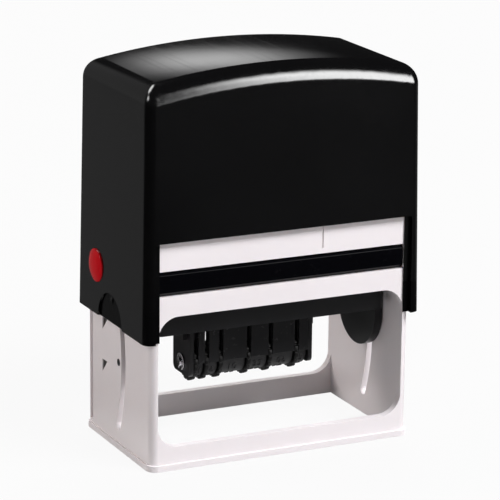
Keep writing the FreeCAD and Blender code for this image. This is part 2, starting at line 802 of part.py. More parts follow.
# Dater: cheeks, covers, bridge, shaft, wheels and bands
def dater_side(x0, x1, outward):
    """Side plate that hangs from the carriage deck and carries the shaft and the bridge."""
    deck_z = plate_foot - carriage_wall
    bridge_top = bridge_roller_z() + bridge_corner
    corner = dater_cheek_corner
    centre_y = cover_inner_y() + cover_thickness - corner
    low_z = wheel_centre_z - dater_cheek_drop + corner
    high_z = deck_z - corner
    plate = prism_x(belt_wire([(-centre_y, low_z, corner), (centre_y, low_z, corner),
                               (centre_y, high_z, corner), (-centre_y, high_z, corner)]), x0, x1)
    neck = box(x0, x1, -bridge_half_width, bridge_half_width, deck_z - bridge_corner * 2, bridge_top)
    reach = dater_foot_reach
    step = dater_step_reach
    if outward < 0:
        foot = box(x0 - reach, x0, -dater_neck_half, dater_neck_half, deck_z - dater_foot_thickness, deck_z)
        shoulder = box(x0 - step, x0, -dater_neck_half, dater_neck_half, dater_step_foot, deck_z)
    else:
        foot = box(x1, x1 + reach, -dater_neck_half, dater_neck_half, deck_z - dater_foot_thickness, deck_z)
        shoulder = box(x1, x1 + step, -dater_neck_half, dater_neck_half, dater_step_foot, deck_z)
    side = joined([plate, neck, foot, shoulder])
    return side.cut(rod_x(shaft_radius, x0 - over, x1 + over, 0, wheel_centre_z))


def dater_cheek_left():
    return dater_side(dater_left(), dater_left() + dater_cheek, -1)


def dater_cheek_right():
    return dater_side(dater_right() - dater_cheek, dater_right(), 1)


def bridge_roller_z():
    return print_face_z - band_thickness - bridge_gap - bridge_corner


def band_bridge():
    """Bar between the side plates that holds the bands up at the print face."""
    roller_y = bridge_half_width - bridge_corner
    roller_z = bridge_roller_z()
    foot_z = roller_z + bridge_corner - bridge_depth
    outline = belt_wire([(-roller_y, foot_z + bridge_corner, bridge_corner),
                         (roller_y, foot_z + bridge_corner, bridge_corner),
                         (roller_y, roller_z, bridge_corner), (-roller_y, roller_z, bridge_corner)])
    return prism_x(outline, dater_left() + dater_cheek, dater_right() - dater_cheek)


def wheel_shaft():
    x0 = dater_left() - shaft_overhang
    x1 = dater_right() + shaft_overhang
    shaft = rod_x(shaft_radius, x0, x1, 0, wheel_centre_z)
    shaft = shaft.makeChamfer(clip_inset, [e for e in shaft.Edges if len(e.Vertexes) == 1])
    for start in clip_starts():
        ring = rod_x(shaft_radius + over, start, start + clip_thickness, 0, wheel_centre_z)
        shaft = shaft.cut(ring.cut(clip_seat(start)))
    return shaft


def clip_starts():
    return dater_left() - clip_thickness, dater_right()


def clip_seat(start):
    """Core of the shaft that is left in a clip's groove."""
    return rod_x(clip_seat_radius, start - over, start + clip_thickness + over, 0, wheel_centre_z)


def shaft_clips():
    """Open spring clips in the shaft's grooves, outside both side plates."""
    clips = []
    for start in clip_starts():
        clip = rod_x(clip_radius, start, start + clip_thickness, 0, wheel_centre_z)
        clip = clip.cut(clip_seat(start))
        mouth_half = clip_seat_radius * clip_mouth_share
        mouth = box(start - over, start + clip_thickness + over, -mouth_half, mouth_half,
                    wheel_centre_z - clip_radius - over, wheel_centre_z)
        clips.append(clip.cut(mouth))
    return Part.makeCompound(clips)


def dater_cover(side):
    """Flat cover in front of or behind the bands, slotted for the rims; side is -1 or 1."""
    x0 = dater_left() + dater_cheek
    x1 = dater_right() - dater_cheek
    inner = cover_inner_y()
    outer = inner + cover_thickness
    cover = box(x0, x1, inner, outer, cover_foot, cover_top)
    for name, rim_left, band_width in date_wheels:
        slot = box(rim_left - wheel_side_gap, rim_left + rim_thickness + wheel_side_gap, 0, outer + over,
                   cover_foot - over, cover_slot_top)
        cover = cover.cut(slot)
    if side < 0:
        cover = cover.mirror(V(0, 0, 0), Y)
    return cover


def cover_inner_y():
    return drum_radius + band_gap + band_thickness + cover_gap


def rim_outline():
    """Thumb rim with shallow round lobes, as alternating crests and valleys."""
    edges = []
    pitch = 2 * math.pi / rim_lobes
    valley = rim_radius - lobe_depth

    def place(angle, radius):
        return V(0, radius * math.sin(angle), wheel_centre_z + radius * math.cos(angle))
    for lobe in range(rim_lobes):
        start = lobe * pitch
        crest_from = place(start + pitch * lobe_start_share, rim_radius)
        crest_to = place(start + pitch - pitch * lobe_start_share, rim_radius)
        next_crest = place(start + pitch + pitch * lobe_start_share, rim_radius)
        edges.append(Part.Arc(crest_from, place(start + pitch / 2, rim_radius), crest_to).toShape())
        edges.append(Part.Arc(crest_to, place(start + pitch, valley), next_crest).toShape())
    return Part.Wire(edges)


def date_wheel(rim_left, band_width):
    """Thumb rim and band drum in one piece, bored for the shaft."""
    rim = prism_x(rim_outline(), rim_left, rim_left + rim_thickness)
    drum_end = rim_left + rim_thickness + band_width
    drum = rod_x(drum_radius, rim_left, drum_end, 0, wheel_centre_z)
    bore = rod_x(shaft_radius + shaft_fit, rim_left - over, drum_end + over, 0, wheel_centre_z)
    return joined([rim, drum]).cut(bore)


def date_band(rim_left, band_width):
    """Rubber band from the drum up over the bridge."""
    x0 = rim_left + rim_thickness + wheel_side_gap
    x1 = x0 + band_width - wheel_side_gap
    roller_y = bridge_half_width - bridge_corner
    rollers = [(0, wheel_centre_z, drum_radius + band_gap),
               (roller_y, bridge_roller_z(), bridge_corner + bridge_gap),
               (-roller_y, bridge_roller_z(), bridge_corner + bridge_gap)]
    outside = belt_wire([(y, z, radius + band_thickness) for y, z, radius in rollers])
    inside = belt_wire(rollers)
    return prism_x(outside, x0, x1).cut(prism_x(inside, x0 - over, x1 + over))


def nodes():
    parts = {
        "frame_housing": frame_housing(),
        "turning_studs": turning_studs(),
        "pad_cassette": pad_cassette(),
        "ink_pad": ink_pad(),
        "return_spring": return_spring(),
        "cap_shell": cap_shell(),
        "lock_button_left": mirrored(lock_button()),
        "lock_button_right": lock_button(),
        "carriage": carriage(),
        "turning_cheek_left": mirrored(turning_cheek()),
        "turning_cheek_right": turning_cheek(),
        "text_plate": text_plate(),
        "text_rubber": text_rubber(),
        "dater_cheek_left": dater_cheek_left(),
        "dater_cheek_right": dater_cheek_right(),
        "dater_cover_front": dater_cover(-1),
        "dater_cover_rear": dater_cover(1),
        "band_bridge": band_bridge(),
        "wheel_shaft": wheel_shaft(),
        "shaft_clips": shaft_clips(),
    }
    for name, rim_left, band_width in date_wheels:
        parts[name + "_wheel"] = date_wheel(rim_left, band_width)
        parts[name + "_band"] = date_band(rim_left, band_width)
    return parts


def main():
    os.makedirs("parts", exist_ok=True)
    for name, shape in nodes().items():
        if not shape.isValid() or shape.Volume <= 0:
            raise ValueError(name + " is not a sound solid")
        shape.exportStep("parts/" + name + ".step")
        print(name, len(shape.Solids), round(shape.Volume, 1))


main()
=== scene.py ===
"""Looks of a self-inking date stamp: finishes, pad, spring, band numerals, camera and studio."""
import math

import bmesh
import bpy
from bpy.props import FloatProperty, FloatVectorProperty, IntProperty, PointerProperty
from mathutils import Matrix, Vector


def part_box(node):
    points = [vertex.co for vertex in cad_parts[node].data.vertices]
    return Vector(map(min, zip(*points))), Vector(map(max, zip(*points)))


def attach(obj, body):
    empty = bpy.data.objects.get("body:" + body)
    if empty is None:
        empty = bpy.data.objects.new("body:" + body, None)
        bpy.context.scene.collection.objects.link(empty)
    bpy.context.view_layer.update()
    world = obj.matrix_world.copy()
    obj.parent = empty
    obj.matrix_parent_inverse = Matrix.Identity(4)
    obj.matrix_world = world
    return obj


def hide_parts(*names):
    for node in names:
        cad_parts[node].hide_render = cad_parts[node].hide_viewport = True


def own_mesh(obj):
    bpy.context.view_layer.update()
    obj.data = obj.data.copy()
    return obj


bl_info = {
    "name": "Date Stamp Looks",
    "version": (1, 0, 0),
    "blender": (4, 5, 0),
    "location": "View3D > Sidebar > Date Stamp",
    "description": "Dresses the date stamp and sets up its studio",
    "category": "Object",
}

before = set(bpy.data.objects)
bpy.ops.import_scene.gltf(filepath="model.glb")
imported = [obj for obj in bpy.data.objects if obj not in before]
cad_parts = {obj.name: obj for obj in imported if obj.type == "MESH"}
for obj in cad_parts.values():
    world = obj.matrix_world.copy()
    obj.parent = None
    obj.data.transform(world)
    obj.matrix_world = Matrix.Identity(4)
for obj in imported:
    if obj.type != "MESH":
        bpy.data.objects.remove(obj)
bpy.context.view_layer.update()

MM = 0.001
WHEELS = ("day_tens", "day_units", "month", "year", "hour", "minute")

# CAD nodes by finish
CAP_NODES = ("cap_shell",)
FRAME_NODES = ("frame_housing",)
CASSETTE_NODES = ("pad_cassette",)
ROTOR_NODES = ("carriage", "turning_cheek_left", "turning_cheek_right", "text_plate",
               "dater_cheek_left", "dater_cheek_right", "band_bridge", "turning_studs")
COVER_NODES = ("dater_cover_front", "dater_cover_rear")
WHEEL_NODES = tuple(name + "_wheel" for name in WHEELS)
BAND_NODES = tuple(name + "_band" for name in WHEELS)
BUTTON_NODES = ("lock_button_left", "lock_button_right")
STEEL_NODES = ("wheel_shaft", "shaft_clips")

# Imported facets closer than this are welded, and edges sharper than this are rounded
WELD_DISTANCE = 0.002 * MM
SHARP_EDGE = math.radians(32)
PLASTIC_IOR = 1.5

# How far the cap's surface faces up where its crown, its rounds with a painted highlight and its
# top with a damped reflection begin, and where each is full
CROWN_FACING = (0.3, 0.9)
ROUNDS_FACING = (0.08, 0.2)
TOP_FACING = (0.93, 0.98)
# Specular levels of the cavity and the scoops, turned down as painted shade, and of the polished
# cap
SCOOP_SHADE_LEVEL = 0.06
POLISHED_LEVEL = 0.5

# Satin blacks: roughness, scale and strength of the eroded grain, and specular level
WORKS_GRAIN = {
    "cassette": (0.2, 1500.0, 0.06, 0.08),
    "rotor": (0.32, 1900.0, 0.16, 0.25),
    "cover": (0.26, 1500.0, 0.1, 0.35),
    "wheel": (0.4, 1500.0, 0.12, 0.15),
}
PAPER_DUST = (0.12, 0.115, 0.11)

# Colour, roughness and stretch of the marks on turned and on drawn steel
SHAFT_STEEL = ((0.62, 0.62, 0.64), 0.2, (4000.0, 250.0, 250.0))
WIRE_STEEL = ((0.5, 0.5, 0.52), 0.3, (300.0, 300.0, 5000.0))

# Cuts along each edge of the foam, how square its corners are, and how much it narrows at its faces
FOAM_CUTS = 22
FOAM_SQUARENESS = 8
FOAM_TUCK = 0.006
# Steps of each turn of the wound wire, and its sides
COIL_STEPS = 36
WIRE_SIDES = 12

# The bridge under the print face carries the bands round two edges of this round and place
BRIDGE_ROUND = 2.25 * MM
BRIDGE_REACH = 1.6 * MM
NUMERAL_WIDTH_SHARE = 0.8
NUMERALS = {
    "day_tens": [str(number) for number in range(4)],
    "day_units": [str(number) for number in range(10)],
    "month": ["%02d" % number for number in range(1, 13)],
    "year": ["%02d" % number for number in range(24, 40)],
    "hour": ["%02d" % number for number in range(24)],
    "minute": [str(number) for number in range(6)],
}

# The floor reads as this share of white where it is seen directly, and lies just under the stamp
FLOOR_REACH = 4.0
FLOOR_DROP = 0.0002
FLOOR_WHITE = 0.93

# Middle of the stamp that the lamps are aimed at
LAMP_TARGET = Vector((0, 0, 0.07))
# Each softbox: its place, width and depth in metres, the setting with its power, and its colour
SOFTBOXES = (
    ("key_softbox", (0.75, -1.2, 1.7), 1.1, 0.9, "key_power", (1, 0.995, 1.02)),
    ("fill_softbox", (-1.5, 0.9, 0.8), 0.9, 0.9, "fill_power", (1, 0.94, 0.92)),
    ("back_softbox", (0.9, 1.6, 1.2), 0.9, 0.9, "back_power", (1, 0.98, 0.98)),
)
SKY_TINT = (1, 0.94, 0.925)

# The dark tent that only reflections see: its radius, the free space round the stamp's foot, its
# floor above the real one and its centre
TENT_RADIUS = 12.0
TENT_GAP = 0.062
TENT_FLOOR = 0.001
TENT_CENTRE = Vector((0, 0, 0.12))
TENT_COLUMNS = 48
TENT_ROWS = 12
# Soft lights and tones in the tent, by compass angle from the rear and by height, in degrees: where
# each begins, is full, is still full and ends, and how bright it is
TENT_ZONES = (
    # Soft light on the cap's top
    ((16.7, 22.3, 24.1, 31.1), (9.2, 20.0, 20.6, 27.0), 5.0),
    # Bright line along the cap's upper front edge
    ((130.0, 142.0, 149.0, 162.0), (-4.0, 8.0, 30.0, 51.0), 10.5),
    # Tones of the front, of the left end, and of the rear and the right end
    ((120.0, 140.0, 158.0, 170.0), (-60.0, -35.0, -8.0, -2.0), 0.06),
    ((-70.0, -45.0, -8.0, 4.0), (-60.0, -35.0, 28.0, 46.0), 0.12),
    ((-10.0, 10.0, 100.0, 118.0), (-60.0, -35.0, -10.0, -3.0), 0.12),
    # Spot on the upper front left corner
    ((-104.0, -94.0, -82.0, -72.0), (24.0, 32.0, 42.0, 52.0), 6.0),
    # Line along the upper rear edge
    ((-70.0, -50.0, 0.0, 20.0), (44.0, 52.0, 64.0, 74.0), 6.0),
)

# Place of the camera in metres, and its azimuth, elevation and roll in degrees
CAMERA_PLACE = (-0.3829, -0.7930, 0.3045)
CAMERA_ANGLES = (25.81, 15.44, -0.63)


class CapFinish(bpy.types.PropertyGroup):
    """High-gloss black of the cap."""
    colour: FloatVectorProperty(name="Colour", description="Colour of the cap's plastic",
                                subtype="COLOR", default=(0.0026, 0.0026, 0.0028), min=0, max=1)
    roughness: FloatProperty(name="Roughness", description="Roughness of the polished cap",
                             subtype="FACTOR", default=0.11, min=0, max=1)
    edge: FloatProperty(name="Edge round", description="Round left on the cap's moulded edges",
                        subtype="DISTANCE", unit="LENGTH", default=0.22 * MM, min=0)
    crown: FloatProperty(name="Crown radius",
                         description="Radius of the slight crown of the top from front to back",
                         subtype="DISTANCE", unit="LENGTH", default=286 * MM, min=0.05)
    # Painted shade: the top's reflections are cut to this share of those of its rounds
    top_sheen: FloatProperty(name="Top sheen",
                             description="Gloss of the top as a share of that of its rounds",
                             subtype="FACTOR", default=0.03, min=0, max=1)
    # Painted shade: where the reflections of the cavity and the scoops are turned down
    scoop_depths: FloatVectorProperty(name="Scoop depths",
                                      description="Distance from the middle at which the dull "
                                                  "finish ends and the polish is full",
                                      subtype="XYZ", unit="LENGTH", size=2,
                                      default=(47.8 * MM, 47.9 * MM))
    scoop_heights: FloatVectorProperty(name="Scoop heights",
                                       description="Height at which the dull finish ends and the "
                                                   "polish is full",
                                       subtype="XYZ", unit="LENGTH", size=2,
                                       default=(52.5 * MM, 53.5 * MM))


class FrameFinish(bpy.types.PropertyGroup):
    """Warm white satin of the frame."""
    colour: FloatVectorProperty(name="Colour", description="Colour of the frame's plastic",
                                subtype="COLOR", default=(0.85, 0.807, 0.815), min=0, max=1)
    roughness: FloatProperty(name="Roughness", description="Roughness of the satin frame",
                             subtype="FACTOR", default=0.42, min=0, max=1)
    edge: FloatProperty(name="Edge round", description="Round left on the frame's moulded edges",
                        subtype="DISTANCE", unit="LENGTH", default=0.2 * MM, min=0)
    # Painted shade: the lock recesses are darkened with this colour, between the distances and
    # widths below
    dust: FloatVectorProperty(name="Dust",
                              description="Colour of the ink dust in the lock recesses",
                              subtype="COLOR", default=(0.10, 0.095, 0.09), min=0, max=1)
    recess_floor: FloatVectorProperty(name="Recess floor",
                                      description="Distance from the middle at which the dust "
                                                  "begins and is full",
                                      subtype="XYZ", unit="LENGTH", size=2,
                                      default=(44.54 * MM, 44.6 * MM))
    recess_mouth: FloatVectorProperty(name="Recess mouth",
                                      description="Distance from the middle at which the dust "
                                                  "thins out and ends",
                                      subtype="XYZ", unit="LENGTH", size=2,
                                      default=(44.9 * MM, 45.6 * MM))
    recess_y: FloatProperty(name="Recess place",
                            description="Place of the recesses from front to back",
                            subtype="DISTANCE", unit="LENGTH", default=11.4 * MM)
    recess_half: FloatVectorProperty(name="Recess half width",
                                     description="Half width at which the dust is full and ends",
                                     subtype="XYZ", unit="LENGTH", size=2,
                                     default=(2.4 * MM, 2.8 * MM))


class WorksFinish(bpy.types.PropertyGroup):
    """Blacks of the rotor, its covers and wheels, and the cassette."""
    rotor_colour: FloatVectorProperty(name="Rotor", description="Colour of carriage and cheeks",
                                      subtype="COLOR", default=(0.0133, 0.0133, 0.0143),
                                      min=0, max=1)
    cover_colour: FloatVectorProperty(name="Covers",
                                      description="Colour of the covers over the bands",
                                      subtype="COLOR", default=(0.0135, 0.0135, 0.0145),
                                      min=0, max=1)
    wheel_colour: FloatVectorProperty(name="Wheels", description="Colour of the date wheels",
                                      subtype="COLOR", default=(0.0035, 0.0035, 0.0035),
                                      min=0, max=1)
    cassette_colour: FloatVectorProperty(name="Cassette", description="Colour of the pad cassette",
                                         subtype="COLOR", default=(0.0012, 0.0012, 0.002),
                                         min=0, max=1)
    edge: FloatProperty(name="Edge round", description="Round left on the small moulded edges",
                        subtype="DISTANCE", unit="LENGTH", default=0.12 * MM, min=0)


class ButtonFinish(bpy.types.PropertyGroup):
    """Gloss red of the lock buttons."""
    colour: FloatVectorProperty(name="Colour", description="Colour of the lock buttons",
                                subtype="COLOR", default=(0.58, 0.005, 0.011), min=0, max=1)
    edge: FloatProperty(name="Edge round", description="Round left on the button's rim",
                        subtype="DISTANCE", unit="LENGTH", default=0.15 * MM, min=0)


class PadForm(bpy.types.PropertyGroup):
    """Foam of the ink pad."""
    colour: FloatVectorProperty(name="Ink", description="Colour of the inked foam",
                                subtype="COLOR", default=(0.018, 0.016, 0.05), min=0, max=1)
    crown: FloatProperty(name="Crown", description="How far the foam bulges below its edges",
                         subtype="DISTANCE", unit="LENGTH", default=0.7 * MM, min=0)
    waist: FloatProperty(name="Waist",
                         description="How far the sides pull in between the corners",
                         subtype="DISTANCE", unit="LENGTH", default=0.35 * MM, min=0)
    fill: FloatProperty(name="Fill", description="How full the foam is", subtype="FACTOR",
                        default=0.8, min=0, max=1)


class SpringForm(bpy.types.PropertyGroup):
    """Wound return spring."""
    wire: FloatProperty(name="Wire", description="Diameter of the wire", subtype="DISTANCE",
                        unit="LENGTH", default=1.4 * MM, min=0)
    turns: IntProperty(name="Turns", description="Open turns between the closed ends", default=11,
                       min=2)
    closed_turns: FloatProperty(name="Closed turns", description="Turns that lie flat at each end",
                                default=1.0, min=0)
    kept: FloatProperty(name="Kept length",
                        description="Share of the length left with the cap down",
                        subtype="FACTOR", default=0.396, min=0.1, max=1)


class NumeralForm(bpy.types.PropertyGroup):
    """Raised numerals of the date bands."""
    height: FloatProperty(name="Height", description="Height of a numeral", subtype="DISTANCE",
                          unit="LENGTH", default=2.5 * MM, min=0)
    relief: FloatProperty(name="Relief", description="How far the numerals stand up",
                          subtype="DISTANCE", unit="LENGTH", default=0.2 * MM, min=0)
    pitch: FloatProperty(name="Pitch", description="Spacing of the numerals along a band",
                         subtype="DISTANCE", unit="LENGTH", default=3.9 * MM, min=0)


class StudioSettings(bpy.types.PropertyGroup):
    """Floor, lamps and camera."""
    floor_colour: FloatVectorProperty(name="Floor", description="Colour of the floor",
                                      subtype="COLOR", default=(0.4, 0.4, 0.4), min=0, max=1)
    key_power: FloatProperty(name="Key power",
                             description="Power of the softbox at the front right",
                             unit="POWER", default=61, min=0)
    fill_power: FloatProperty(name="Fill power",
                              description="Power of the softbox behind the left end",
                              unit="POWER", default=15.5, min=0)
    back_power: FloatProperty(name="Back power",
                              description="Power of the softbox at the rear right",
                              unit="POWER", default=25, min=0)
    sky: FloatProperty(name="Sky", description="Strength of the even light all round",
                       default=0.18, min=0)
    tent: FloatProperty(name="Tent", description="How bright the dark tent looks in reflections",
                        default=0.012, min=0)
    lens: FloatProperty(name="Lens", description="Focal length of the camera",
                        subtype="DISTANCE_CAMERA", default=203.31, min=1)


GROUPS = (CapFinish, FrameFinish, WorksFinish, ButtonFinish, PadForm, SpringForm, NumeralForm,
          StudioSettings)
GROUP_NAMES = ("stamp_cap", "stamp_frame", "stamp_works", "stamp_button", "stamp_pad",
               "stamp_spring", "stamp_numerals", "stamp_studio")


# Materials
class Graph:
    """Short hand for the nodes of one tree."""

    def __init__(self, tree):
        self.tree = tree

    def plug(self, socket, value):
        """Links an output to a socket, or sets a plain value on it."""
        if isinstance(value, bpy.types.NodeSocket):
            self.tree.links.new(value, socket)
        else:
            socket.default_value = value

    def add(self, kind, inputs=(), **settings):
        node = self.tree.nodes.new(kind)
        for key, value in settings.items():
            setattr(node, key, value)
        for key, value in dict(inputs).items():
            self.plug(node.inputs[key], value)
        return node

    def place(self):
        return self.add("ShaderNodeTexCoord").outputs["Object"]

    def parts(self, vector):
        """Outputs X, Y and Z of a vector."""
        return self.add("ShaderNodeSeparateXYZ", {"Vector": vector}).outputs

    def noise(self, place, scale, detail=2.0, roughness=0.5):
        node = self.add("ShaderNodeTexNoise", {"Vector": place, "Scale": scale, "Detail": detail,
                                               "Roughness": roughness})
        return node.outputs["Fac"]

    def stretched(self, place, scale, turn):
        node = self.add("ShaderNodeMapping", {"Vector": place, "Scale": scale, "Rotation": turn})
        return node.outputs["Vector"]

    def range(self, value, low, high, from_low=0.0, from_high=1.0, kind="LINEAR"):
        """Goes from low to high while the value goes from from_low to from_high."""
        node = self.add("ShaderNodeMapRange",
                        {"Value": value, "From Min": from_low, "From Max": from_high,
                         "To Min": low, "To Max": high}, interpolation_type=kind)
        return node.outputs["Result"]

    def plateau(self, angle, stops):
        """Rises from 0 to 1 between the first two angles in degrees and falls between the last."""
        begin, full, still, end = (math.radians(stop) for stop in stops)
        rise = self.range(angle, 0.0, 1.0, begin, full, "SMOOTHSTEP")
        fall = self.range(angle, 1.0, 0.0, still, end, "SMOOTHSTEP")
        return self.math("MULTIPLY", rise, fall)

    def math(self, operation, *values):
        node = self.add("ShaderNodeMath", dict(enumerate(values)), operation=operation)
        return node.outputs[0]

    def vector_math(self, operation, *values):
        node = self.add("ShaderNodeVectorMath", dict(enumerate(values)), operation=operation)
        return node.outputs[0]

    def colours(self, share, first, second):
        """Mixes two colours, each a colour or an output."""
        whole = [value if isinstance(value, bpy.types.NodeSocket) else (*value, 1)
                 for value in (first, second)]
        node = self.add("ShaderNodeMix", {0: share, 6: whole[0], 7: whole[1]}, data_type="RGBA")
        return node.outputs[2]

    def bump(self, height, strength, distance):
        node = self.add("ShaderNodeBump", {"Height": height, "Strength": strength,
                                           "Distance": distance})
        return node.outputs["Normal"]


class Finish(Graph):
    """Nodes of one material."""

    def __init__(self, name):
        self.material = bpy.data.materials.new(name)
        self.material.use_nodes = True
        super().__init__(self.material.node_tree)
        self.shader = self.tree.nodes["Principled BSDF"]

    def shade(self, sockets):
        """Sets values and outputs on the shader."""
        for key, value in sockets.items():
            self.plug(self.shader.inputs[key], value)

    def show(self, output):
        """Puts another shader on the surface."""
        self.plug(self.tree.nodes["Material Output"].inputs["Surface"], output)


def tinted(colour, factor):
    return tuple(min(1.0, part * factor) for part in colour)


def hairlines(graph, place, scale, turns):
    """Fine polishing lines in several directions, as a height from 0 to 1."""
    total = None
    for turn in turns:
        along = graph.stretched(place, (scale, scale * 0.02, scale), (turn, turn * 0.7, turn * 1.3))
        line = graph.range(graph.noise(along, scale=1.0, detail=1.0), 0.0, 1.0, 0.62, 0.72)
        total = line if total is None else graph.math("MAXIMUM", total, line)
    return total


def cap_crown(gloss, rippled, depth, facing, radius):
    """Leans the normals of the top as a slight crown from front to back would."""
    lean = gloss.math("MULTIPLY", gloss.math("DIVIDE", depth, radius),
                      gloss.range(facing, 0.0, 1.0, *CROWN_FACING))
    leaning = gloss.add("ShaderNodeCombineXYZ", {"Y": lean}).outputs[0]
    return gloss.vector_math("NORMALIZE", gloss.vector_math("ADD", rippled, leaning))


def cap_gloss(settings):
    """Polished black plastic: a faint flow ripple, haze and hairlines from handling."""
    gloss = Finish("cap_gloss")
    place = gloss.place()
    parts = gloss.parts(place)
    facing = gloss.parts(gloss.add("ShaderNodeNewGeometry").outputs["Normal"])["Z"]
    clouds = gloss.noise(place, scale=28.0, detail=3.0)
    lines = hairlines(gloss, place, scale=900.0, turns=(0.3, 1.4, 2.5))
    haze = gloss.range(clouds, settings.roughness * 0.75, settings.roughness * 1.35, 0.3, 0.7)
    rippled = gloss.bump(gloss.noise(place, scale=160.0), strength=0.05, distance=0.0002)
    # Painted shade: the specular level is turned down below the scoop height, except on the end
    # faces, so the cavity and the scoops at the foot of the ends read dark
    outside = gloss.range(gloss.math("ABSOLUTE", parts["X"]), 0.0, 1.0, *settings.scoop_depths)
    above = gloss.range(parts["Z"], 0.0, 1.0, *settings.scoop_heights)
    polished = gloss.range(gloss.math("MAXIMUM", outside, above), SCOOP_SHADE_LEVEL, POLISHED_LEVEL)
    # Painted highlight on the rounds along the top, whose specular level is doubled, and painted
    # shade on the top itself, whose specular level is cut to a share
    rounds = gloss.range(facing, 1.0, 2.0, *ROUNDS_FACING)
    top = gloss.range(facing, 1.0, settings.top_sheen, *TOP_FACING)
    gloss.shade({
        "Base Color": gloss.colours(clouds, tinted(settings.colour, 0.8),
                                    tinted(settings.colour, 1.25)),
        "Roughness": gloss.math("ADD", haze, gloss.math("MULTIPLY", lines, 0.05)),
        "Normal": cap_crown(gloss, rippled, parts["Y"], facing, settings.crown),
        "Specular IOR Level": gloss.math("MULTIPLY", polished,
                                         gloss.math("MULTIPLY", rounds, top)),
        "IOR": PLASTIC_IOR,
    })
    return gloss.material


def recess_dust(satin, place, settings):
    """Share of painted shade, which lies in the lock recesses, the only hollows at their place."""
    parts = satin.parts(place)
    depth = satin.math("ABSOLUTE", parts["X"])
    hollow = satin.math("MULTIPLY", satin.range(depth, 0.0, 1.0, *settings.recess_floor),
                        satin.range(depth, 1.0, 0.0, *settings.recess_mouth))
    beside = satin.math("ABSOLUTE", satin.math("SUBTRACT", parts["Y"], settings.recess_y))
    return satin.math("MULTIPLY", hollow, satin.range(beside, 1.0, 0.0, *settings.recess_half))


def frame_satin(settings):
    """White moulded plastic: fine spark-eroded grain, soft clouding and painted shade in the lock
    recesses.
    """
    satin = Finish("frame_satin")
    place = satin.place()
    clouds = satin.noise(place, scale=22.0, detail=4.0)
    clean = satin.colours(clouds, tinted(settings.colour, 0.965), tinted(settings.colour, 1.02))
    satin.shade({
        # The lock recesses get painted shade
        "Base Color": satin.colours(recess_dust(satin, place, settings), clean, settings.dust),
        "Roughness": satin.range(clouds, settings.roughness * 0.85, settings.roughness * 1.15,
                                 0.3, 0.7),
        "Normal": satin.bump(satin.noise(place, scale=2600.0), strength=0.12, distance=0.00005),
        "IOR": PLASTIC_IOR,
        "Subsurface Weight": 0.06,
        "Subsurface Radius": (0.0022, 0.0018, 0.0015),
        "Subsurface Scale": 1.0,
    })
    return satin.material


def works_satin(name, colour, roughness, grain_scale, grain_strength, specular):
    """Black moulded plastic with an eroded grain and specks of paper dust."""
    satin = Finish(name)
    place = satin.place()
    clouds = satin.noise(place, scale=45.0, detail=4.0)
    dust = satin.range(satin.noise(place, scale=520.0, detail=5.0, roughness=0.65), 0.0, 1.0,
                       0.62, 0.82)
    clean = satin.colours(clouds, tinted(colour, 0.8), tinted(colour, 1.25))
    grain = satin.noise(place, scale=grain_scale, detail=3.0)
    satin.shade({
        "Base Color": satin.colours(satin.math("MULTIPLY", dust, 0.05), clean, PAPER_DUST),
        "Roughness": satin.math("ADD", satin.range(clouds, roughness * 0.85, roughness * 1.15),
                                satin.math("MULTIPLY", dust, 0.12)),
        "Normal": satin.bump(grain, strength=grain_strength, distance=0.00006),
        "IOR": PLASTIC_IOR,
        "Specular IOR Level": specular,
    })
    return satin.material


def button_gloss(settings):
    """Red gloss plastic that lets a little light in, with fine hairlines from handling."""
    gloss = Finish("button_gloss")
    place = gloss.place()
    clouds = gloss.noise(place, scale=90.0, detail=3.0)
    lines = hairlines(gloss, place, scale=1500.0, turns=(0.8, 2.1))
    gloss.shade({
        "Base Color": gloss.colours(clouds, tinted(settings.colour, 0.94),
                                    tinted(settings.colour, 1.06)),
        "Roughness": gloss.math("ADD", gloss.range(clouds, 0.14, 0.2),
                                gloss.math("MULTIPLY", lines, 0.06)),
        "Normal": gloss.bump(gloss.noise(place, scale=700.0), strength=0.03, distance=0.00004),
        "Specular IOR Level": 0.3,
        "Subsurface Weight": 0.08,
        "Subsurface Radius": (0.002, 0.0004, 0.0003),
        "Subsurface Scale": 1.0,
    })
    return gloss.material


def print_rubber():
    """Vulcanised dark red-brown rubber, dulled by ink."""
    rubber = Finish("print_rubber_ink")
    place = rubber.place()
    ink = rubber.range(rubber.noise(place, scale=120.0, detail=5.0), 0.0, 1.0, 0.4, 0.65)
    pores = rubber.noise(place, scale=2200.0, detail=3.0)
    rubber.shade({
        "Base Color": rubber.colours(ink, (0.085, 0.03, 0.035), (0.02, 0.014, 0.035)),
        "Roughness": rubber.range(ink, 0.62, 0.38),
        "Normal": rubber.bump(pores, strength=0.25, distance=0.00005),
    })
    return rubber.material


def band_rubber():
    """Soft black band rubber with talc left in its pores."""
    rubber = Finish("band_rubber_talc")
    place = rubber.place()
    talc = rubber.range(rubber.noise(place, scale=700.0, detail=6.0, roughness=0.7), 0.0, 1.0,
                        0.55, 0.8)
    pores = rubber.noise(place, scale=1800.0, detail=3.0)
    rubber.shade({
        "Base Color": rubber.colours(talc, (0.011, 0.011, 0.012), (0.06, 0.058, 0.056)),
        "Roughness": rubber.range(talc, 0.55, 0.8),
        "Normal": rubber.bump(pores, strength=0.2, distance=0.00005),
        "Specular IOR Level": 0.35,
    })
    return rubber.material


def ink_foam(settings):
    """Open-celled foam soaked in ink, wet in its cells."""
    foam = Finish("ink_foam_wet")
    place = foam.place()
    cells = foam.add("ShaderNodeTexVoronoi", {"Vector": place, "Scale": 1700.0})
    pools = foam.noise(place, scale=60.0, detail=4.0)
    foam.shade({
        "Base Color": foam.colours(pools, tinted(settings.colour, 0.6),
                                   tinted(settings.colour, 1.5)),
        "Roughness": foam.range(pools, 0.28, 0.6, 0.35, 0.65),
        "Normal": foam.bump(cells.outputs["Distance"], strength=0.55, distance=0.00025),
    })
    return foam.material


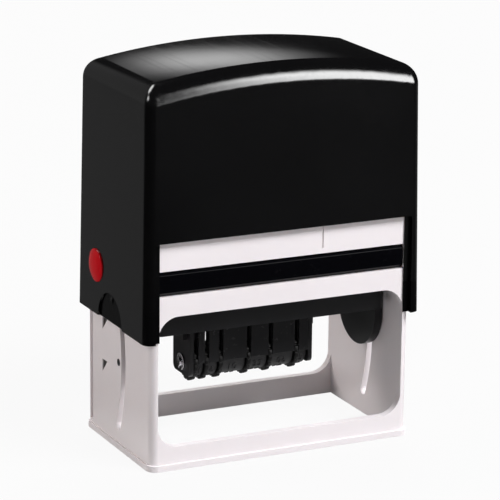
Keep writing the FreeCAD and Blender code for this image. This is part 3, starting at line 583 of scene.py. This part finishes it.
def marked_steel(name, tone, roughness, stretch):
    """Steel with drawing or turning marks."""
    steel = Finish(name)
    marks = steel.noise(steel.stretched(steel.place(), stretch, (0, 0, 0)), scale=1.0)
    steel.shade({
        "Base Color": steel.colours(marks, tinted(tone, 0.86), tinted(tone, 1.05)),
        "Roughness": steel.range(marks, roughness * 0.8, roughness * 1.3),
        "Normal": steel.bump(marks, strength=0.08, distance=0.00003),
        "Metallic": 1.0,
    })
    return steel.material


def dress(names, material):
    """Gives CAD nodes one material."""
    for name in names:
        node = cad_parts[name]
        if not node.material_slots:
            node.data.materials.append(material)
        for slot in node.material_slots:
            slot.material = material


def soften(names, width):
    """Welds the imported facets and rounds their sharp edges, as a mould leaves them."""
    for name in names:
        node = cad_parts[name]
        weld = node.modifiers.new("weld", "WELD")
        weld.merge_threshold = WELD_DISTANCE
        bevel = node.modifiers.new("edge_round", "BEVEL")
        bevel.width = width
        bevel.segments = 2
        bevel.limit_method = "ANGLE"
        bevel.angle_limit = SHARP_EDGE
        bevel.use_clamp_overlap = True
        bevel.miter_outer = "MITER_ARC"
        flat = node.modifiers.new("flat_faces", "WEIGHTED_NORMAL")
        flat.weight = 100


def put(name, content):
    """New object in the scene."""
    thing = bpy.data.objects.new(name, content)
    bpy.context.scene.collection.objects.link(thing)
    return thing


def link(name, mesh, material, body, smooth=True):
    """New piece from a mesh, finished and set on its body."""
    piece = put(name, mesh)
    mesh.materials.append(material)
    for polygon in mesh.polygons:
        polygon.use_smooth = smooth
    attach(piece, body)
    return piece


# Forms
def to_mesh(name, shape):
    mesh = bpy.data.meshes.new(name)
    shape.to_mesh(mesh)
    shape.free()
    return mesh


def skin(shape, rings):
    """Joins neighbouring rings of vertices with faces."""
    for first, second in zip(rings, rings[1:]):
        for index in range(len(first)):
            other = (index + 1) % len(first)
            shape.faces.new((first[index], first[other], second[other], second[index]))


def foam_mesh(low, high, crown, waist):
    """Closed foam block, crowned below, with sides that pull in between its corners."""
    shape = bmesh.new()
    bmesh.ops.create_cube(shape, size=2.0)
    bmesh.ops.subdivide_edges(shape, edges=shape.edges[:], cuts=FOAM_CUTS, use_grid_fill=True)
    half = (high - low) / 2
    middle = (high + low) / 2
    for vertex in shape.verts:
        x, y, z = vertex.co
        rim = max(abs(x), abs(y))
        corner = (abs(x) ** FOAM_SQUARENESS + abs(y) ** FOAM_SQUARENESS) ** (1 / FOAM_SQUARENESS)
        scale = rim / corner if corner else 1.0
        pull_x = waist * (1 - y * y) * abs(x) ** 6
        pull_y = waist * (1 - x * x) * abs(y) ** 6
        height = z * half.z
        if z < 0:
            height += crown * (1 - (1 - x * x) ** 0.5 * (1 - y * y) ** 0.5) ** 2 * -z
        tuck = 1 - FOAM_TUCK * abs(z) ** 6
        vertex.co = (middle.x + x * scale * tuck * (half.x - pull_x),
                     middle.y + y * scale * tuck * (half.y - pull_y), middle.z + height)
    return to_mesh("foam", shape)


def coil_mesh(radius, wire, foot, top, turns, closed_turns):
    """Wire wound in a helix whose end turns close up flat."""
    shape = bmesh.new()
    steps = int((turns + closed_turns * 2) * COIL_STEPS)
    rise = top - foot - wire * 2 * closed_turns - wire
    rings = []
    for step in range(steps + 1):
        turn = step / COIL_STEPS
        flat = min(turn, closed_turns) + max(0.0, turn - closed_turns - turns)
        climb = min(max(turn - closed_turns, 0.0), turns) / turns
        height = foot + wire / 2 + flat * wire + climb * rise
        angle = turn * 2 * math.pi
        out = Vector((math.cos(angle), math.sin(angle), 0))
        centre = out * radius + Vector((0, 0, height))
        ring = []
        for side in range(WIRE_SIDES):
            around = side * 2 * math.pi / WIRE_SIDES
            across = out * math.cos(around) + Vector((0, 0, 1)) * math.sin(around)
            ring.append(shape.verts.new(centre + across * wire / 2))
        rings.append(ring)
    skin(shape, rings)
    shape.faces.new(rings[0][::-1])
    shape.faces.new(rings[-1])
    bmesh.ops.recalc_face_normals(shape, faces=shape.faces[:])
    return to_mesh("coil", shape)


def belt_runs(rollers):
    """Arcs and straight runs of a belt round its rollers, each with its length."""
    pairs = list(zip(rollers, rollers[1:] + rollers[:1]))
    normals = []
    for (y0, z0, r0), (y1, z1, r1) in pairs:
        lean = math.acos((r0 - r1) / math.hypot(y1 - y0, z1 - z0))
        normals.append(math.atan2(z1 - z0, y1 - y0) - lean)
    runs = []
    for index, ((y0, z0, r0), (y1, z1, r1)) in enumerate(pairs):
        normal = normals[index]
        sweep = (normal - normals[index - 1]) % (2 * math.pi)
        runs.append(("arc", sweep * r0, (y0, z0, r0, normals[index - 1])))
        start = Vector((y0 + r0 * math.cos(normal), z0 + r0 * math.sin(normal)))
        end = Vector((y1 + r1 * math.cos(normal), z1 + r1 * math.sin(normal)))
        runs.append(("line", (end - start).length, (start, end, normal)))
    return runs


def belt_stations(rollers, pitch):
    """Evenly spaced places round a belt, from the middle of its print face: (y, z, angle)."""
    runs = belt_runs(rollers)
    whole = sum(run[1] for run in runs)
    number = int(whole / pitch)
    # The second straight run is the print face
    offset = sum(run[1] for run in runs[:3]) + runs[3][1] / 2
    stations = []
    for station in range(number):
        along = (offset + station * whole / number) % whole
        for kind, length, data in runs:
            if along <= length:
                break
            along -= length
        if kind == "arc":
            y, z, radius, begin = data
            angle = begin + along / radius
            stations.append((y + radius * math.cos(angle), z + radius * math.sin(angle), angle))
        else:
            first, last, normal = data
            place = first + (last - first) * (along / length)
            stations.append((place.x, place.y, normal))
    return stations


def numeral_mesh(text, width, height, relief):
    """One numeral as a solid mesh, centred, reversed for printing, and sunk by its relief."""
    curve = bpy.data.curves.new("numeral", "FONT")
    curve.body = text
    curve.align_x = "CENTER"
    curve.align_y = "CENTER"
    curve.resolution_u = 3
    curve.extrude = 0.5
    holder = put("numeral", curve)
    bpy.context.view_layer.update()
    evaluated = holder.evaluated_get(bpy.context.evaluated_depsgraph_get())
    mesh = bpy.data.meshes.new_from_object(evaluated)
    bpy.data.objects.remove(holder)
    bpy.data.curves.remove(curve)
    xs = [vertex.co.x for vertex in mesh.vertices]
    ys = [vertex.co.y for vertex in mesh.vertices]
    scale = min(width / (max(xs) - min(xs)), height / (max(ys) - min(ys)))
    shift_x = (max(xs) + min(xs)) / 2
    shift_y = (max(ys) + min(ys)) / 2
    for vertex in mesh.vertices:
        x, y, z = vertex.co
        vertex.co = (-(x - shift_x) * scale, (y - shift_y) * scale, z * relief * 2)
    mesh.flip_normals()
    return mesh


def band_numerals(texts, x0, x1, rollers, settings):
    """All numerals of one band in one mesh, standing out of its outer face."""
    shape = bmesh.new()
    width = (x1 - x0) * NUMERAL_WIDTH_SHARE
    made = {}
    for index, (y, z, angle) in enumerate(belt_stations(rollers, settings.pitch)):
        text = texts[index % len(texts)]
        if text not in made:
            made[text] = numeral_mesh(text, width, settings.height, settings.relief)
        out = Vector((0, math.cos(angle), math.sin(angle)))
        along = Vector((0, -math.sin(angle), math.cos(angle)))
        turned = Matrix((along.cross(out), along, out)).transposed().to_4x4()
        copy = made[text].copy()
        copy.transform(Matrix.Translation(((x0 + x1) / 2, y, z)) @ turned)
        shape.from_mesh(copy)
        bpy.data.meshes.remove(copy)
    return to_mesh("numerals", shape)


# One operator for each piece or group of like pieces
class FinishCap(bpy.types.Operator):
    """Polished black for the cap"""
    bl_idname = "stamp.finish_cap"
    bl_label = "Finish cap"

    def execute(self, context):
        settings = context.scene.stamp_cap
        dress(CAP_NODES, cap_gloss(settings))
        soften(CAP_NODES, settings.edge)
        return {"FINISHED"}


class FinishFrame(bpy.types.Operator):
    """Satin white for the frame"""
    bl_idname = "stamp.finish_frame"
    bl_label = "Finish frame"

    def execute(self, context):
        settings = context.scene.stamp_frame
        dress(FRAME_NODES, frame_satin(settings))
        soften(FRAME_NODES, settings.edge)
        return {"FINISHED"}


class FinishWorks(bpy.types.Operator):
    """Blacks, rubber and steel for the cassette and the rotor"""
    bl_idname = "stamp.finish_works"
    bl_label = "Finish works"

    def execute(self, context):
        settings = context.scene.stamp_works
        blacks = {"cassette": CASSETTE_NODES, "rotor": ROTOR_NODES, "cover": COVER_NODES,
                  "wheel": WHEEL_NODES}
        for kind, names in blacks.items():
            colour = getattr(settings, kind + "_colour")
            dress(names, works_satin(kind + "_satin", colour, *WORKS_GRAIN[kind]))
            soften(names, settings.edge)
        dress(BAND_NODES, band_rubber())
        dress(("text_rubber",), print_rubber())
        dress(STEEL_NODES, marked_steel("bright_shaft", *SHAFT_STEEL))
        soften(STEEL_NODES, settings.edge / 2)
        return {"FINISHED"}


class FinishButtons(bpy.types.Operator):
    """Red gloss for the lock buttons"""
    bl_idname = "stamp.finish_buttons"
    bl_label = "Finish buttons"

    def execute(self, context):
        settings = context.scene.stamp_button
        dress(BUTTON_NODES, button_gloss(settings))
        soften(BUTTON_NODES, settings.edge)
        return {"FINISHED"}


class BuildPad(bpy.types.Operator):
    """Crowned, inked foam in the cassette"""
    bl_idname = "stamp.build_pad"
    bl_label = "Build ink pad"

    def execute(self, context):
        settings = context.scene.stamp_pad
        low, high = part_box("ink_pad")
        mesh = foam_mesh(low, high, settings.crown, settings.waist)
        foam = link("inked_foam", mesh, ink_foam(settings), "frame")
        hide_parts("ink_pad")
        return {"FINISHED"}


class BuildSpring(bpy.types.Operator):
    """Return spring with closed end turns"""
    bl_idname = "stamp.build_spring"
    bl_label = "Build return spring"

    def execute(self, context):
        settings = context.scene.stamp_spring
        low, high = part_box("return_spring")
        radius = (high.x - low.x) / 2 - settings.wire / 2
        mesh = coil_mesh(radius, settings.wire, low.z, high.z, settings.turns,
                         settings.closed_turns)
        steel = marked_steel("spring_wire_steel", *WIRE_STEEL)
        coil = link("return_coil", mesh, steel, "frame")
        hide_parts("return_spring")
        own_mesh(coil)
        return {"FINISHED"}


class BuildNumerals(bpy.types.Operator):
    """Raised, reversed numerals on the six date bands"""
    bl_idname = "stamp.build_numerals"
    bl_label = "Build band numerals"

    def execute(self, context):
        settings = context.scene.stamp_numerals
        rubber = bpy.data.materials.get("band_rubber_talc")
        if rubber is None:
            raise RuntimeError("finish the works before the numerals")
        for name in WHEELS:
            low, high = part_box(name + "_band")
            wheel_low, wheel_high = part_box(name + "_wheel")
            wheel_z = (wheel_low.z + wheel_high.z) / 2
            bridge_z = high.z - BRIDGE_ROUND
            rollers = [(0, wheel_z, wheel_z - low.z), (BRIDGE_REACH, bridge_z, BRIDGE_ROUND),
                       (-BRIDGE_REACH, bridge_z, BRIDGE_ROUND)]
            mesh = band_numerals(NUMERALS[name], low.x, high.x, rollers, settings)
            link(name + "_numerals", mesh, rubber, "rotor", smooth=False)
        return {"FINISHED"}


# Studio
def softbox(name, place, width, depth, power, colour):
    """Area lamp of a given size, aimed at the stamp, that only matt surfaces see."""
    lamp = bpy.data.lights.new(name, "AREA")
    lamp.shape = "RECTANGLE"
    lamp.size = width
    lamp.size_y = depth
    lamp.energy = power
    lamp.color = colour
    holder = put(name, lamp)
    holder.location = place
    holder.rotation_euler = (LAMP_TARGET - Vector(place)).to_track_quat("-Z", "Y").to_euler()
    holder.visible_glossy = False


def seen_directly(graph):
    """Light Path test for what the camera, a mirror or glass sees."""
    path = graph.add("ShaderNodeLightPath").outputs
    first = graph.math("MAXIMUM", path["Is Camera Ray"], path["Is Glossy Ray"])
    return graph.math("MAXIMUM", first, path["Is Transmission Ray"])


def studio_floor(settings):
    """Large pale floor that reads white and still takes the shadow."""
    mesh = bpy.data.meshes.new("studio_floor")
    corners = [(x * FLOOR_REACH, y * FLOOR_REACH, -FLOOR_DROP)
               for x, y in ((-1, -1), (1, -1), (1, 1), (-1, 1))]
    mesh.from_pydata(corners, [], [(0, 1, 2, 3)])
    floor = put("studio_floor", mesh)
    paper = Finish("studio_paper")
    paper.shade({"Base Color": (*settings.floor_colour, 1), "Roughness": 0.9,
                 "Specular IOR Level": 0.1})
    white = paper.add("ShaderNodeEmission", {"Color": (1, 1, 1, 1)}).outputs[0]
    share = paper.math("MULTIPLY", seen_directly(paper), FLOOR_WHITE)
    mixed = paper.add("ShaderNodeMixShader", {0: share, 1: paper.shader.outputs[0], 2: white})
    paper.show(mixed.outputs[0])
    mesh.materials.append(paper.material)


def tent_mesh(floor_z):
    """Dome with a floor ring that leaves the object's footprint free."""
    shape = bmesh.new()
    levels = [(TENT_GAP, floor_z)]
    for row in range(TENT_ROWS):
        angle = row / TENT_ROWS * math.pi / 2
        levels.append((TENT_RADIUS * math.cos(angle), floor_z + TENT_RADIUS * math.sin(angle)))
    rings = []
    for reach, height in levels:
        ring = []
        for column in range(TENT_COLUMNS):
            angle = column / TENT_COLUMNS * 2 * math.pi
            corner = (reach * math.cos(angle), reach * math.sin(angle), height)
            ring.append(shape.verts.new(corner))
        rings.append(ring)
    skin(shape, rings)
    shape.faces.new(rings[-1])
    return to_mesh("studio_tent", shape)


def studio_tent(level):
    """Dark tent round the object that only reflections see, with soft lights in it."""
    mesh = tent_mesh(TENT_FLOOR - TENT_CENTRE.z)
    tent = put("studio_tent", mesh)
    tent.location = TENT_CENTRE
    cloth = Finish("studio_tent")
    cloth.tree.nodes.remove(cloth.shader)
    parts = cloth.parts(cloth.place())
    x, y, z = (parts[key] for key in "XYZ")
    squares = cloth.math("ADD", cloth.math("MULTIPLY", x, x), cloth.math("MULTIPLY", y, y))
    turn = cloth.math("ARCTAN2", x, y)
    height = cloth.math("ARCTAN2", z, cloth.math("SQRT", squares))
    total = level
    for across, upward, strength in TENT_ZONES:
        share = cloth.math("MULTIPLY", cloth.plateau(turn, across), cloth.plateau(height, upward))
        total = cloth.math("ADD", cloth.math("MULTIPLY", share, strength), total)
    cloth.show(cloth.add("ShaderNodeEmission", {"Strength": total}).outputs[0])
    mesh.materials.append(cloth.material)
    tent.visible_camera = False
    tent.visible_diffuse = False
    tent.visible_shadow = False
    tent.visible_transmission = False


def studio_sky(strength):
    """Even light all round, white where it is seen directly."""
    world = bpy.data.worlds.new("studio_sky")
    bpy.context.scene.world = world
    world.use_nodes = True
    sky = Graph(world.node_tree)
    colour = sky.colours(seen_directly(sky), tuple(strength * part for part in SKY_TINT), (1, 1, 1))
    sky.plug(sky.tree.nodes["Background"].inputs["Color"], colour)


def stand_camera(lens):
    """Camera at the place and angle of the picture, turned a little about its own axis."""
    azimuth, elevation, roll = (math.radians(angle) for angle in CAMERA_ANGLES)
    away = Vector((-math.sin(azimuth) * math.cos(elevation),
                   -math.cos(azimuth) * math.cos(elevation), math.sin(elevation)))
    right = Vector((math.cos(azimuth), -math.sin(azimuth), 0))
    up = right.cross(-away)
    across = right * math.cos(roll) - up * math.sin(roll)
    upward = right * math.sin(roll) + up * math.cos(roll)
    camera = bpy.data.cameras.new("camera")
    camera.lens = lens
    camera.sensor_width = 36.0
    camera.clip_start = 0.01
    holder = put("camera", camera)
    turned = Matrix((across, upward, away)).transposed().to_4x4()
    holder.matrix_world = Matrix.Translation(CAMERA_PLACE) @ turned
    bpy.context.scene.camera = holder


class BuildStudio(bpy.types.Operator):
    """Floor, softboxes, tent, sky and camera"""
    bl_idname = "stamp.build_studio"
    bl_label = "Build studio"

    def execute(self, context):
        settings = context.scene.stamp_studio
        studio_floor(settings)
        studio_sky(settings.sky)
        for name, place, width, depth, setting, colour in SOFTBOXES:
            softbox(name, place, width, depth, getattr(settings, setting), colour)
        studio_tent(settings.tent)
        stand_camera(settings.lens)
        context.scene.view_settings.view_transform = "Standard"
        return {"FINISHED"}


class StampPanel(bpy.types.Panel):
    """Lists the steps that dress the date stamp"""
    bl_idname = "VIEW3D_PT_date_stamp"
    bl_label = "Date Stamp"
    bl_space_type = "VIEW_3D"
    bl_region_type = "UI"
    bl_category = "Date Stamp"

    def draw(self, context):
        for group in GROUP_NAMES:
            box = self.layout.box()
            settings = getattr(context.scene, group)
            for key in settings.__annotations__:
                box.prop(settings, key)
        for operator in OPERATORS:
            self.layout.operator(operator.bl_idname)


OPERATORS = (FinishCap, FinishFrame, FinishWorks, FinishButtons, BuildPad, BuildSpring,
             BuildNumerals, BuildStudio)


def register():
    for group, name in zip(GROUPS, GROUP_NAMES):
        bpy.utils.register_class(group)
        setattr(bpy.types.Scene, name, PointerProperty(type=group))
    for kind in OPERATORS + (StampPanel,):
        bpy.utils.register_class(kind)


def unregister():
    for kind in reversed(OPERATORS + (StampPanel,)):
        bpy.utils.unregister_class(kind)
    for group, name in zip(reversed(GROUPS), reversed(GROUP_NAMES)):
        delattr(bpy.types.Scene, name)
        bpy.utils.unregister_class(group)


def main():
    register()
    bpy.ops.stamp.finish_cap()
    bpy.ops.stamp.finish_frame()
    bpy.ops.stamp.finish_works()
    bpy.ops.stamp.finish_buttons()
    bpy.ops.stamp.build_pad()
    bpy.ops.stamp.build_spring()
    bpy.ops.stamp.build_numerals()
    bpy.ops.stamp.build_studio()


if __name__ == "__main__":
    main()
